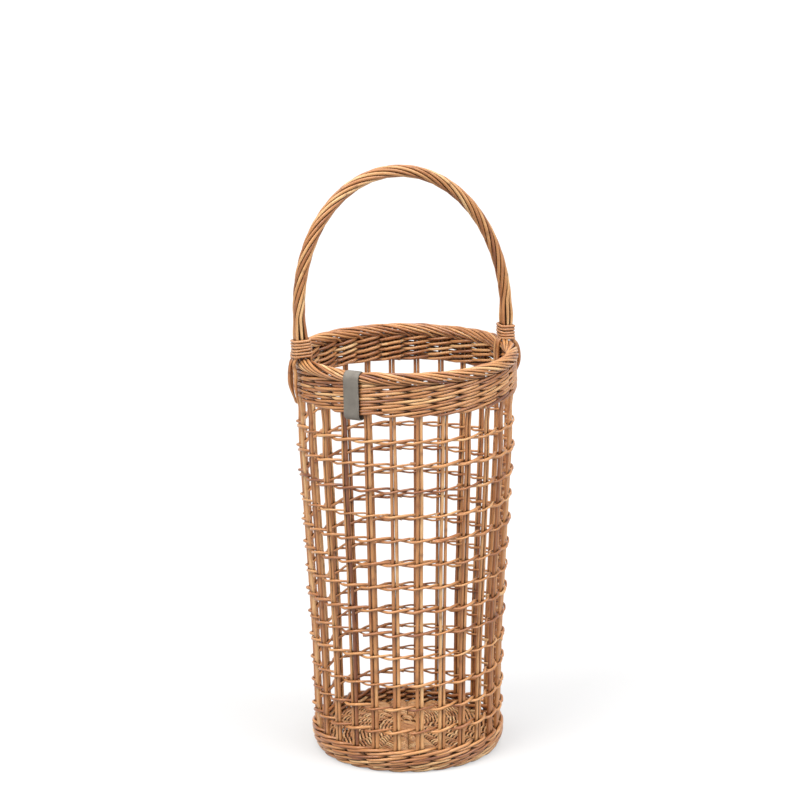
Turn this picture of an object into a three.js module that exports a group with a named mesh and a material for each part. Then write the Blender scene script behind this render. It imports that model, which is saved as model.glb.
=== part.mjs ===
// Wicker umbrella stand: a tall open basket of willow pairs and twined rows, with a waled top band,
// a rope-like rod border, a waled foot, a crowned woven base, a fixed roped handle with lashed feet
// and a plain leather strap. Millimetres, +Z up. The origin is the centre of the foot on the floor.
// Azimuth 0 is the front, towards -Y, and azimuths grow towards +X.

import * as THREE from 'three';

// Driving dimensions

const CLEARANCE = 0.3; // gap that touching strands keep
const BASE_STICKS = 13;
const STAKE_PAIRS = 2 * BASE_STICKS; // upright pairs, one at each end of each base stick
const FIRST_PAIR_DEG = 7.32; // azimuth of the first pair right of the front

const FLOOR_RADIUS = 106.5; // centre line of the wall where it would meet the floor
const FOOT_RADIUS = 114.5; // and over the lower foot row
const WAIST_RADIUS = 117.2; // and at the waist
const SHOULDER_RADIUS = 129; // and at the shoulder
const RIM_RADIUS = 130.6; // and under the border
const FOOT_HEIGHT = 15;
const WAIST_HEIGHT = 150;
const SHOULDER_HEIGHT = 408;

const PAIR_WIDTH_FOOT = 10.4; // two rods side by side at their butt ends
const PAIR_WIDTH_RIM = 8.4; // and at their tips
const PAIR_THICKNESS_FOOT = 5.2;
const PAIR_THICKNESS_RIM = 3.8;
const PAIR_GROOVE = 0.35; // share of the thickness left between the two rods

const BASE_EDGE_HEIGHT = 4.7; // mid height of the base where the stakes turn up
const BASE_CROWN = 10; // rise of the base from its edge to its bound centre
const BASE_STICK_WIDTH = 5.2;
const BASE_STICK_THICKNESS = 3;
const SLATH_RADIUS = 27; // where the base sticks fan out of the bound centre
const BASE_STICK_REACH = 84; // length of each stick from the centre
const UPSETT_RADIUS = 5; // bend of the stakes from the base into the wall
const BASE_WEAVER = 4.4; // width of the base weaver
const BASE_WEAVE_INNER = 46;
const BASE_WEAVE_OUTER = 94;
const BASE_WEAVE_TURNS = 4.5;
const BASE_WEAVE_SLACK = 0.2; // more room over and under the sticks, which slope

const FITCH_ROWS = 13; // open twined rows
const FITCH_FIRST = 54; // height of the lowest one
const FITCH_BELOW_BAND = 37; // from the underside of the band to the middle of the highest one
const FITCH_WEAVER = 3.64; // width of one weaver
const FITCH_TILT = 6.3; // the upper rows sit this much higher at the front than the middle
const FITCH_LEVEL_ROWS = 3; // the lowest rows lie level

const BAND_ROWS = 4; // close waling under the border
const BAND_TOP = 500.7;
const BAND_WEAVER = 3.3;
const FOOT_LOWER_WEAVER = 6.6; // the lower foot row stands flat on the floor
const FOOT_UPPER_WEAVER = 5.6;

const BORDER_ABOVE_BAND = 10.3; // centre of the rope-like border over the band
const BORDER_RADIUS = 132;
const BORDER_END = 3; // pitches from where a pair turns down to its trimmed end
const BORDER_LEAN = 0.2; // pitches that a pair has leant over where it leaves the band
const BORDER_LEAN_INSET = 1.1; // it leans in by this much
const BORDER_LEAN_DROP = 1.2; // and bends below half way

const HANDLE_GAP = 8; // the handle stands in this gap, counted from the front, and in the one opposite
const HANDLE_TOP = 744.8; // centre of the roped bow at its top
const HANDLE_HALF_WIDTH = 138;
const HANDLE_SPRING = 558.8; // height where the bow starts
const HANDLE_LEAN = 11; // its top stands this far left of the middle, as the rods were pulled over
const HANDLE_ROD = 5.2; // width of one handle rod
const HANDLE_RODS = 8;
const HANDLE_TURNS = 3; // full twists from splay to splay, near one in 160 mm
const HANDLE_STEPS = 12; // sections in each full twist
const HANDLE_CORE = 3.6; // thickness of the core rod
const HANDLE_FOOT_DROP = 33.7; // the rods end this far below the top of the band
const LEG_ROD_SPACING = 5.2; // of the straight rods beside each other at the feet
const LEG_SPLAY = 7; // from the middle of a foot to its outer and inner rods, over the border
const LEG_INSET = 2; // the middle of a foot stands this much further in than the bow
const LEG_CLEAR = 0.5; // height of the splay over the border, besides its clearance
const LEG_TWIST_LENGTH = 22; // from the top of the splay to the first full section of the twist
const LEG_OUTSIDE = 10.3; // from the wall's centre line to the rods outside the band
const LEG_OUTSIDE_BULGE = 7; // they stand out this much further to pass the border
const LEG_OUTSIDE_BEND = 20; // depth below the band's top where they start to stand out
const LEG_OUTSIDE_SHOULDER = 2.3; // and height over it where they pass the border's widest part

const LASH_SKEIN = 2.6; // thickness of the lashing skein
const LASH_PITCH = 3.5;
const LASH_ABOVE = 4; // height of the first turn over the border
const LASH_LEFT_TURNS = 6;
const LASH_RIGHT_TURNS = 5;
const LASH_STEPS = 12; // sections in each turn, three at each corner rod
const LASH_SLACK = 0.5; // more room round the rods

const STRAP_GAP = -2; // the strap hangs in this gap, counted from the front
const STRAP_WIDTH = 20;
const STRAP_THICKNESS = 2;
const STRAP_OUTSIDE = 9; // from the wall's centre line to the strap, over the band
const STRAP_SLACK = 0.8; // room round the border and under the band

// Colours and finishes

const willow = new THREE.MeshStandardMaterial({ color: 0xc08a5c, roughness: 0.55, metalness: 0 });
const skein = new THREE.MeshStandardMaterial({ color: 0xb97d4c, roughness: 0.5, metalness: 0 });
const leather = new THREE.MeshStandardMaterial({ color: 0x82847d, roughness: 0.7, metalness: 0 });

// Places worked out from the driving dimensions

const PITCH = (2 * Math.PI) / STAKE_PAIRS; // angle between neighbouring pairs
const FIRST_PAIR = THREE.MathUtils.degToRad(FIRST_PAIR_DEG);
const BORDER_HEIGHT = BAND_TOP + BORDER_ABOVE_BAND;
const STAKE_TOP = BAND_TOP - 2; // where a pair starts to lean over into the border
const UP = new THREE.Vector3(0, 0, 1);

const pairAzimuth = (k) => FIRST_PAIR + k * PITCH;
const gapAzimuth = (m) => FIRST_PAIR + (m - 0.5) * PITCH;
const lerp = THREE.MathUtils.lerp;

function place(radius, azimuth, z) {
  return new THREE.Vector3(radius * Math.sin(azimuth), -radius * Math.cos(azimuth), z);
}

// Radius of the stakes' centre line at a height.
const WALL_BENDS = [
  [0, FLOOR_RADIUS],
  [FOOT_HEIGHT, FOOT_RADIUS],
  [WAIST_HEIGHT, WAIST_RADIUS],
  [SHOULDER_HEIGHT, SHOULDER_RADIUS],
  [BAND_TOP, RIM_RADIUS],
];

function wallRadius(z) {
  const above = WALL_BENDS.findIndex(([height]) => height >= z);
  if (above <= 0) {
    return above === 0 ? FLOOR_RADIUS : RIM_RADIUS;
  }
  const [low, lowRadius] = WALL_BENDS[above - 1];
  const [high, highRadius] = WALL_BENDS[above];
  return lerp(lowRadius, highRadius, (z - low) / (high - low));
}

const pairShare = (z) => THREE.MathUtils.clamp(z / BAND_TOP, 0, 1);
const pairWidth = (z) => lerp(PAIR_WIDTH_FOOT, PAIR_WIDTH_RIM, pairShare(z));
const pairThickness = (z) => lerp(PAIR_THICKNESS_FOOT, PAIR_THICKNESS_RIM, pairShare(z));

// Mid height of the crowned base at a radius.
const UPSETT_HEIGHT = BASE_EDGE_HEIGHT + UPSETT_RADIUS;
const BASE_EDGE_RADIUS = wallRadius(UPSETT_HEIGHT) - UPSETT_RADIUS;
const BASE_SLOPE = BASE_CROWN / (BASE_EDGE_RADIUS - SLATH_RADIUS);

function baseHeight(radius) {
  return BASE_EDGE_HEIGHT + BASE_SLOPE * (BASE_EDGE_RADIUS - Math.max(radius, SLATH_RADIUS));
}

// Closed bodies from rings of points

// Joins rings of equal length into one closed body. An open run gets flat ends, a closed one joins up.
function sweep(rings, closed) {
  const sides = rings[0].length;
  const positions = [];
  const faces = [];
  for (const ring of rings) {
    for (const point of ring) {
      positions.push(point.x, point.y, point.z);
    }
  }
  const spans = closed ? rings.length : rings.length - 1;
  for (let i = 0; i < spans; i++) {
    const near = i * sides;
    const far = ((i + 1) % rings.length) * sides;
    for (let j = 0; j < sides; j++) {
      const next = (j + 1) % sides;
      faces.push(near + j, near + next, far + next);
      faces.push(near + j, far + next, far + j);
    }
  }
  if (!closed) {
    const last = (rings.length - 1) * sides;
    for (const [a, b, c] of capTriangles(sides)) {
      faces.push(a, c, b);
      faces.push(last + a, last + b, last + c);
    }
  }
  const geometry = new THREE.BufferGeometry();
  geometry.setAttribute('position', new THREE.Float32BufferAttribute(positions, 3));
  geometry.setIndex(faces);
  if (signedVolume(geometry) < 0) {
    for (let i = 0; i < faces.length; i += 3) {
      [faces[i + 1], faces[i + 2]] = [faces[i + 2], faces[i + 1]];
    }
    geometry.setIndex(faces);
  }
  return geometry;
}

// End faces of a ring. The six points of a grooved pair split at the groove, other rings are fans.
function capTriangles(sides) {
  if (sides === 6) {
    return [[0, 1, 5], [1, 4, 5], [1, 2, 4], [2, 3, 4]];
  }
  const fan = [];
  for (let j = 1; j < sides - 1; j++) {
    fan.push([0, j, j + 1]);
  }
  return fan;
}

function signedVolume(geometry) {
  const p = geometry.getAttribute('position');
  const index = geometry.getIndex();
  const a = new THREE.Vector3();
  const b = new THREE.Vector3();
  const c = new THREE.Vector3();
  let sum = 0;
  for (let i = 0; i < index.count; i += 3) {
    a.fromBufferAttribute(p, index.getX(i));
    b.fromBufferAttribute(p, index.getX(i + 1));
    c.fromBufferAttribute(p, index.getX(i + 2));
    sum += a.dot(b.cross(c));
  }
  return sum / 6;
}

const stand = new THREE.Group();

function addPiece(name, geometry, material) {
  const mesh = new THREE.Mesh(geometry, material);
  mesh.name = name;
  stand.add(mesh);
  return mesh;
}

// Upright pairs

// One section of a pair: two rods side by side, with a groove between them on both faces.
function pairRing(centre, across, through, width, thickness) {
  const half = width / 2;
  const deep = thickness / 2;
  const groove = deep * PAIR_GROOVE;
  const outline = [[-half, -deep], [0, -groove], [half, -deep], [half, deep], [0, groove], [-half, deep]];
  return outline.map(([u, v]) => centre.clone().addScaledVector(across, u).addScaledVector(through, v));
}

// Angle round the border's centre line, in its section: 0 is outside, 90 degrees is the top.
const borderAngle = (pitches) => Math.PI * (1.5 - pitches / 2);

function stakePair(k) {
  const azimuth = pairAzimuth(k);
  const sideways = place(1, azimuth + Math.PI / 2, 0);
  const outwards = place(1, azimuth, 0);
  const rings = [];

  // the tail lies flat in the base, in line with the end of its stick
  for (const radius of [BASE_STICK_REACH + 2 * CLEARANCE, BASE_EDGE_RADIUS]) {
    const centre = place(radius, azimuth, baseHeight(radius));
    rings.push(pairRing(centre, sideways, UP.clone().negate(), PAIR_WIDTH_FOOT, BASE_STICK_THICKNESS));
  }
  // the upsett pinches it and turns it up into the wall, which leans out from the waist
  for (const z of [UPSETT_HEIGHT, FOOT_HEIGHT, WAIST_HEIGHT, SHOULDER_HEIGHT, STAKE_TOP]) {
    const centre = place(wallRadius(z), azimuth, z);
    rings.push(pairRing(centre, sideways, outwards, pairWidth(z), pairThickness(z)));
  }
  // it leans over towards the next pair and turns in under the border
  const lean = azimuth + BORDER_LEAN * PITCH;
  const leaning = place(1, lean + Math.PI / 2, 0).sub(UP).normalize();
  const leanHeight = (STAKE_TOP + BORDER_HEIGHT) / 2 - BORDER_LEAN_DROP;
  const leanCentre = place(RIM_RADIUS - BORDER_LEAN_INSET, lean, leanHeight);
  rings.push(pairRing(leanCentre, leaning, place(1, lean, 0), PAIR_WIDTH_RIM, PAIR_THICKNESS_RIM));
  // it winds once round the border's centre line: inside, over the top and down the outside
  const strandRadius = borderStrandRadius();
  for (const pitches of [0.5, 1, 1.5, 2, 2.5, BORDER_END]) {
    const angle = borderAngle(pitches);
    const here = azimuth + pitches * PITCH;
    const radial = place(1, here, 0);
    const away = radial.clone().multiplyScalar(Math.cos(angle)).addScaledVector(UP, Math.sin(angle));
    const round = radial.clone().multiplyScalar(-Math.sin(angle)).addScaledVector(UP, Math.cos(angle));
    const centre = place(BORDER_RADIUS, here, BORDER_HEIGHT).addScaledVector(away, strandRadius);
    rings.push(pairRing(centre, round.negate(), away, PAIR_WIDTH_RIM, PAIR_THICKNESS_RIM));
  }
  return sweep(rings, false);
}

// Four pairs lie round the border's centre line and just clear each other's corners.
function borderStrandRadius() {
  return PAIR_WIDTH_RIM / 2 + PAIR_THICKNESS_RIM / 2 + CLEARANCE;
}

// Twined and waled rows

const PASS = 0.25; // pitches from a pair's middle to where a strand leaves its side
const DIVE = 0.36; // pitches to where a strand that passed over a tail has dived
const PAIR_SHARE = 0.19; // pitches from a pair's middle to its edge at the foot, where it is widest
const BACK_PAIR = STAKE_PAIRS / 2; // rows start and end behind

// A row is one long weaver that goes round the wall two or three times, so that its turns lie beside
// each other as two or three strands. Each strand passes inside one pair and outside the next one or
// two, climbs while it is outside and falls while it is inside, and all strands cross in every gap.
// Where the count of pairs divides by the strands, one gap at the back has no crossing, which joins
// the turns. Sections are triangles. A row at the foot passes over the tails inside, no lower than
// insideFloor and insideStep further in than the wall needs, before it dives.
function twinedRow({ strands, weaver, middleAt, insideFloor, insideStep = 0, corner = 0 }) {
  const outline = triangle(cornerReach(weaver), corner);
  const { inward, outward, down, up } = extents(outline);
  const climb = strandClimb(strands, up + down);
  const shift = STAKE_PAIRS % strands === 0 ? 1 : 0;
  const outerChord = strands === 2 ? 1 / Math.cos(PASS * PITCH)
    : Math.cos((0.5 - PAIR_SHARE) * PITCH) / Math.cos((0.5 + PASS) * PITCH);
  const rings = [];
  for (let i = 0; i < strands * STAKE_PAIRS; i++) {
    const lap = Math.floor(i / STAKE_PAIRS);
    const turn = (i - shift * lap + strands) % strands;
    const stake = pairAzimuth(i + BACK_PAIR);
    let passes;
    if (turn === 0) {
      passes = [[-PASS, climb], [PASS, -climb]];
      if (insideFloor !== undefined) {
        const hold = insideFloor + down - middleAt(stake);
        passes = [[-PASS, Math.max(climb, hold)], [PASS, hold], [DIVE, -climb]];
      }
    } else if (strands === 2) {
      passes = [[-PASS, -climb], [PASS, climb]];
    } else {
      passes = turn === 1 ? [[-PASS, -climb]] : [[PASS, climb]];
    }
    for (const [pitches, rise] of passes) {
      const azimuth = stake + pitches * PITCH;
      const z = middleAt(azimuth) + rise;
      const halfPair = pairThickness(z) / 2 + CLEARANCE;
      const radius = turn > 0
        ? (wallRadius(z) + halfPair + inward) * outerChord
        : (wallRadius(z) - halfPair - outward - insideStep) / Math.cos(PASS * PITCH);
      rings.push(outline.map((c) => place(radius + c.x, azimuth, z + c.y)));
    }
  }
  return sweep(rings, true);
}

// Climb of a strand's centre above the row's middle, so that strands that meet keep their clearance.
function strandClimb(strands, thickness) {
  return (thickness + CLEARANCE) * (strands === 2 ? 0.5 : (1 + 2 * PASS) / 2);
}

function extents(outline) {
  return {
    inward: -Math.min(...outline.map((c) => c.x)),
    outward: Math.max(...outline.map((c) => c.x)),
    down: -Math.min(...outline.map((c) => c.y)),
    up: Math.max(...outline.map((c) => c.y)),
  };
}

// Height of a waled row above and below its middle.
const walePart = (thickness) => strandClimb(3, thickness);

// Distance of the corners from the centre of a triangular section of a given width.
const cornerReach = (width) => width / Math.sqrt(3);

const FLAT_BELOW = 90; // corner that points up, over a flat side
const FLAT_ABOVE = 30; // corner beside a flat upper side, a sixth of a turn further

// A triangle with one corner towards an angle in degrees.
function triangle(reach, degrees) {
  return [0, 120, 240].map((step) => {
    const angle = THREE.MathUtils.degToRad(degrees + step);
    return new THREE.Vector2(reach * Math.cos(angle), reach * Math.sin(angle));
  });
}

const BAND_ROW_HEIGHT = 2 * walePart(BAND_WEAVER) + BAND_WEAVER;
const BAND_BOTTOM = BAND_TOP - BAND_ROWS * BAND_ROW_HEIGHT - (BAND_ROWS - 1) * CLEARANCE;
const FITCH_SPACING = (BAND_BOTTOM - FITCH_BELOW_BAND - FITCH_FIRST) / (FITCH_ROWS - 1);

function fitchingRow(row) {
  const middle = FITCH_FIRST + row * FITCH_SPACING;
  const tilt = row < FITCH_LEVEL_ROWS ? 0 : FITCH_TILT;
  return twinedRow({
    strands: 2,
    weaver: FITCH_WEAVER,
    middleAt: (azimuth) => middle + tilt * Math.cos(azimuth),
  });
}

function bandRow(row) {
  const middle = BAND_BOTTOM + BAND_ROW_HEIGHT / 2 + row * (BAND_ROW_HEIGHT + CLEARANCE);
  return twinedRow({ strands: 3, weaver: BAND_WEAVER, middleAt: () => middle });
}

// The lower foot row turns a flat side down. It stands on the floor where it dives out under the
// wall, and inside it passes over the tails of the stakes.
const FOOT_LOWER_REACH = cornerReach(FOOT_LOWER_WEAVER);
const FOOT_LOWER_THICKNESS = 1.5 * FOOT_LOWER_REACH;
const FOOT_LOWER_MIDDLE = FOOT_LOWER_REACH / 2 + walePart(FOOT_LOWER_THICKNESS);
const FOOT_LOWER_TOP = FOOT_LOWER_THICKNESS + 2 * walePart(FOOT_LOWER_THICKNESS);
const TAIL_TOP = baseHeight(BASE_EDGE_RADIUS - FOOT_LOWER_WEAVER - CLEARANCE) + BASE_STICK_THICKNESS / 2;

function lowerFootRow() {
  return twinedRow({
    strands: 3,
    weaver: FOOT_LOWER_WEAVER,
    middleAt: () => FOOT_LOWER_MIDDLE,
    insideFloor: TAIL_TOP + CLEARANCE,
    insideStep: UPSETT_RADIUS / 2,
    corner: FLAT_BELOW,
  });
}

function upperFootRow() {
  const middle = FOOT_LOWER_TOP + CLEARANCE + walePart(FOOT_UPPER_WEAVER) + FOOT_UPPER_WEAVER / 2;
  return twinedRow({ strands: 3, weaver: FOOT_UPPER_WEAVER, middleAt: () => middle });
}

// Base

// 13 sticks bound in the middle and fanned out to 26 ends, crowned like a shallow dome.
function baseSlath() {
  const points = [];
  const half = BASE_STICK_WIDTH / 2;
  for (let k = 0; k < STAKE_PAIRS; k++) {
    const azimuth = pairAzimuth(k);
    const spread = Math.asin(half / SLATH_RADIUS);
    const tip = Math.atan(half / BASE_STICK_REACH);
    const corners = [
      [SLATH_RADIUS, azimuth - spread],
      [BASE_STICK_REACH, azimuth - tip],
      [BASE_STICK_REACH, azimuth + tip],
      [SLATH_RADIUS, azimuth + spread],
    ];
    for (const [radius, angle] of corners) {
      const point = place(radius, angle, 0);
      points.push(new THREE.Vector2(point.x, point.y));
    }
  }
  const outline = new THREE.Shape(points);
  const slath = new THREE.ExtrudeGeometry(outline, { depth: BASE_STICK_THICKNESS, bevelEnabled: false });
  const p = slath.getAttribute('position');
  for (let i = 0; i < p.count; i++) {
    const radius = Math.hypot(p.getX(i), p.getY(i));
    p.setZ(i, p.getZ(i) - BASE_STICK_THICKNESS / 2 + baseHeight(radius));
  }
  return slath;
}

// One weaver spirals outwards over two stick ends and under the next two. 13 groups of two are an
// odd number, so the next turn lies the other way up by itself.
function baseWeave() {
  const groups = BASE_STICKS;
  const reach = cornerReach(BASE_WEAVER);
  const slant = (BASE_SLOPE * BASE_WEAVER) / 2 + BASE_WEAVE_SLACK;
  const lift = BASE_STICK_THICKNESS / 2 + CLEARANCE + slant + reach / 2;
  const rings = [];
  const last = Math.floor(BASE_WEAVE_TURNS * groups);
  const spacing = (BASE_WEAVE_OUTER - BASE_WEAVE_INNER) / BASE_WEAVE_TURNS;
  for (let group = 0; group < last; group++) {
    const over = group % 2 === 0 ? 1 : -1;
    const section = triangle(reach, over > 0 ? FLAT_BELOW : FLAT_ABOVE);
    for (const side of [-1, 1]) {
      const turns = (group + 0.25 * side) / groups;
      const radius = BASE_WEAVE_INNER + spacing * turns;
      const halfWidth = radius < BASE_STICK_REACH - BASE_WEAVER ? BASE_STICK_WIDTH / 2 : PAIR_WIDTH_FOOT / 2;
      const middle = pairAzimuth(2 * group + 0.5);
      const azimuth = middle + side * (PITCH / 2 + Math.asin((halfWidth + CLEARANCE) / radius));
      const z = baseHeight(radius) + over * lift;
      rings.push(section.map((c) => place(radius + c.x, azimuth, z + c.y)));
    }
  }
  return sweep(rings, false);
}

// Roped handle

const HANDLE_AZIMUTH = gapAzimuth(HANDLE_GAP);
const HANDLE_ALONG = place(1, HANDLE_AZIMUTH, 0);
const HANDLE_ACROSS = place(1, HANDLE_AZIMUTH + Math.PI / 2, 0);
const HANDLE_ROD_REACH = cornerReach(HANDLE_ROD);
const HANDLE_ROD_OFFSET = HANDLE_ROD_REACH + HANDLE_CORE / 2 + 3 * CLEARANCE;
const BORDER_REACH = Math.hypot(borderStrandRadius() + PAIR_THICKNESS_RIM / 2, PAIR_WIDTH_RIM / 2);
const BORDER_TOP = BORDER_HEIGHT + BORDER_REACH;
const LASH_START = BORDER_TOP + LASH_ABOVE;
const LEG_SPLAY_TOP = LASH_START + (LASH_LEFT_TURNS + 1.5) * LASH_PITCH;
const LEG_SPLAY_LOW = BORDER_TOP + CLEARANCE + HANDLE_ROD_REACH + LEG_CLEAR;
const HANDLE_FOOT_HEIGHT = BAND_TOP - HANDLE_FOOT_DROP;
const BOW = bowStations();

// A point in the handle's plane: side is -1 for the left leg and 1 for the right one.
function legPoint(side, radius, z, across) {
  return HANDLE_ALONG.clone().multiplyScalar(side * radius).addScaledVector(HANDLE_ACROSS, across)
    .addScaledVector(UP, z);
}

// Centre line of the bow between the splays of its two legs, by even lengths of a half ellipse that
// leans to the left.
function bowStations() {
  const rise = HANDLE_TOP - HANDLE_SPRING;
  const start = Math.asin((LEG_SPLAY_TOP + LEG_TWIST_LENGTH - HANDLE_SPRING) / rise);
  const samples = 400;
  const lengths = [0];
  const pointAt = (angle) => new THREE.Vector2(
    -HANDLE_HALF_WIDTH * Math.cos(angle) - HANDLE_LEAN * Math.sin(angle),
    rise * Math.sin(angle),
  );
  const slopeAt = (angle) => new THREE.Vector2(
    HANDLE_HALF_WIDTH * Math.sin(angle) - HANDLE_LEAN * Math.cos(angle),
    rise * Math.cos(angle),
  ).normalize();
  const angleAt = (i) => start + ((Math.PI - 2 * start) * i) / samples;
  for (let i = 1; i <= samples; i++) {
    lengths.push(lengths[i - 1] + pointAt(angleAt(i)).distanceTo(pointAt(angleAt(i - 1))));
  }
  const spans = HANDLE_STEPS * HANDLE_TURNS;
  const stations = [];
  let i = 0;
  for (let step = 0; step <= spans; step++) {
    const target = (lengths[samples] * step) / spans;
    while (i < samples - 1 && lengths[i + 1] < target) {
      i++;
    }
    const share = (target - lengths[i]) / (lengths[i + 1] - lengths[i]);
    const angle = lerp(angleAt(i), angleAt(i + 1), share);
    const flat = pointAt(angle);
    const slope = slopeAt(angle);
    stations.push({
      centre: HANDLE_ALONG.clone().multiplyScalar(flat.x).addScaledVector(UP, HANDLE_SPRING + flat.y),
      tangent: HANDLE_ALONG.clone().multiplyScalar(slope.x).addScaledVector(UP, slope.y),
    });
  }
  return stations;
}

// The outward side of a station, its sideways side and its tangent make a right-handed set.
function bowFrame(tangent) {
  const outward = new THREE.Vector3().crossVectors(tangent, HANDLE_ACROSS).normalize();
  return { outward, sideways: HANDLE_ACROSS.clone().negate() };
}

// A point at a distance from a station's centre, at an angle from its outward side.
function aroundBow(centre, tangent, distance, angle) {
  const { outward, sideways } = bowFrame(tangent);
  return centre.clone()
    .addScaledVector(outward, distance * Math.cos(angle))
    .addScaledVector(sideways, distance * Math.sin(angle));
}

// A triangular section of a rod in the handle, with a flat side away from the bow's centre line.
function bowRing(centre, tangent, reach, phase) {
  return [1 / 3, 1, 5 / 3].map((turn) => aroundBow(centre, tangent, reach, phase + turn * Math.PI));
}

// Direction of a run at one of its points, kept in the handle's plane.
function runDirection(points, i) {
  const before = points[Math.max(0, i - 1)];
  const after = points[Math.min(points.length - 1, i + 1)];
  const direction = after.clone().sub(before);
  return direction.addScaledVector(HANDLE_ACROSS, -direction.dot(HANDLE_ACROSS)).normalize();
}

// Centre line of one rod up a leg to the splay. Of the eight rods, the three outer ones start outside
// the band and the three inner ones inside it and pass over the border. The two in the middle start
// above the border.
function legRoute(side, slot) {
  const middle = HANDLE_HALF_WIDTH - LEG_INSET;
  const facing = Math.round(Math.cos(slot));
  if (facing === 0) {
    const across = -HANDLE_ROD_OFFSET * Math.round(Math.sin(slot));
    return [
      legPoint(side, middle, BORDER_TOP + CLEARANCE, across),
      legPoint(side, HANDLE_HALF_WIDTH, LEG_SPLAY_TOP, across),
    ];
  }
  const across = -LEG_ROD_SPACING * Math.round(Math.sin(slot));
  const outside = wallRadius(BAND_TOP) + LEG_OUTSIDE;
  const inside = BORDER_RADIUS - BORDER_REACH - 2 * CLEARANCE - HANDLE_ROD_REACH;
  const route = facing > 0
    ? [
      [outside, HANDLE_FOOT_HEIGHT],
      [outside, BAND_TOP - LEG_OUTSIDE_BEND],
      [outside + LEG_OUTSIDE_BULGE, BAND_TOP + LEG_OUTSIDE_SHOULDER],
      [middle + LEG_SPLAY, LEG_SPLAY_LOW],
      [HANDLE_HALF_WIDTH + HANDLE_ROD_OFFSET, LEG_SPLAY_TOP],
    ]
    : [
      [inside, HANDLE_FOOT_HEIGHT],
      [inside, BORDER_HEIGHT],
      [inside + LEG_INSET, BORDER_TOP],
      [middle - LEG_SPLAY, LEG_SPLAY_LOW],
      [HANDLE_HALF_WIDTH - HANDLE_ROD_OFFSET, LEG_SPLAY_TOP],
    ];
  return route.map(([radius, z]) => legPoint(side, radius, z, across));
}

function handleRod(index) {
  const slot = (index * 2 * Math.PI) / HANDLE_RODS;
  const twist = HANDLE_TURNS * 2 * Math.PI;
  const phaseAt = (i) => slot + (twist * i) / (BOW.length - 1);
  const left = legRoute(-1, slot);
  const right = legRoute(1, slot + twist).reverse();
  const bow = BOW.map(({ centre, tangent }, i) => aroundBow(centre, tangent, HANDLE_ROD_OFFSET, phaseAt(i)));
  const points = [...left, ...bow, ...right];
  const rings = points.map((point, i) => {
    const step = i - left.length;
    const onBow = step >= 0 && step < BOW.length;
    const tangent = onBow ? BOW[step].tangent : runDirection(points, i);
    return bowRing(point, tangent, HANDLE_ROD_REACH, phaseAt(THREE.MathUtils.clamp(step, 0, BOW.length - 1)));
  });
  return sweep(rings, false);
}

function handleCore() {
  const foot = (side) => legPoint(side, HANDLE_HALF_WIDTH - LEG_INSET, BORDER_TOP + CLEARANCE, 0);
  const neck = (side) => legPoint(side, HANDLE_HALF_WIDTH, LEG_SPLAY_TOP, 0);
  const points = [foot(-1), neck(-1), ...BOW.map((station) => station.centre), neck(1), foot(1)];
  return sweep(points.map((point, i) => bowRing(point, runDirection(points, i), HANDLE_CORE / 2, 0)), false);
}

// Lashings

// One skein wound round the splayed rods just above the border.
function lashing(side, turns) {
  const margin = HANDLE_ROD_REACH + CLEARANCE + LASH_SKEIN / 2 + LASH_SLACK;
  const splayShare = (z) => (z - LEG_SPLAY_LOW) / (LEG_SPLAY_TOP - LEG_SPLAY_LOW);
  const middleAt = (z) => lerp(HANDLE_HALF_WIDTH - LEG_INSET, HANDLE_HALF_WIDTH, splayShare(z));
  const splayAt = (z) => lerp(LEG_SPLAY, HANDLE_ROD_OFFSET, splayShare(z));
  const at = (along, across, z) => legPoint(side, middleAt(z) + along, z, across);
  const cornerSteps = LASH_STEPS / 4;
  const last = LASH_STEPS * turns;
  const top = LASH_START + LASH_PITCH * turns;
  const route = [];
  for (let i = 0; i <= last; i++) {
    const z = lerp(LASH_START, top, i / last);
    const quarter = Math.floor(i / cornerSteps) % 4;
    const bend = (i % cornerSteps) / (cornerSteps - 1);
    const cornerAlong = [1, 1, -1, -1][quarter] * splayAt(z);
    const cornerAcross = [1, -1, -1, 1][quarter] * LEG_ROD_SPACING;
    const angle = (Math.PI / 2) * (1 - quarter - bend);
    route.push(at(cornerAlong + margin * Math.cos(angle), cornerAcross + margin * Math.sin(angle), z));
  }
  return { geometry: squareRod(route, LASH_SKEIN), route };
}

// A rod with square sections through given points.
function squareRod(route, thickness) {
  let normal = UP.clone();
  const rings = route.map((centre, i) => {
    const before = route[Math.max(0, i - 1)];
    const after = route[Math.min(route.length - 1, i + 1)];
    const tangent = after.clone().sub(before).normalize();
    normal = normal.clone().addScaledVector(tangent, -normal.dot(tangent)).normalize();
    const other = new THREE.Vector3().crossVectors(tangent, normal);
    const corners = [[1, 0], [0, 1], [-1, 0], [0, -1]];
    return corners.map(([u, v]) => centre.clone()
      .addScaledVector(normal, (u * thickness) / 2)
      .addScaledVector(other, (v * thickness) / 2));
  });
  return sweep(rings, false);
}

// Least gap between turns, measured between points along the run that lie more than three
// thicknesses apart by length.
function leastGap(route, thickness) {
  const spacing = 0.5;
  const points = [];
  let length = 0;
  for (let i = 1; i < route.length; i++) {
    const span = route[i].distanceTo(route[i - 1]);
    const pieces = Math.ceil(span / spacing);
    for (let j = 0; j < pieces; j++) {
      const share = j / pieces;
      points.push({ at: route[i - 1].clone().lerp(route[i], share), length: length + span * share });
    }
    length += span;
  }
  let least = Infinity;
  for (let i = 0; i < points.length; i++) {
    for (let j = i + 1; j < points.length; j++) {
      if (points[j].length - points[i].length > 3 * thickness) {
        least = Math.min(least, points[i].at.distanceTo(points[j].at) - thickness);
      }
    }
  }
  return least;
}

// Leather strap

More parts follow.
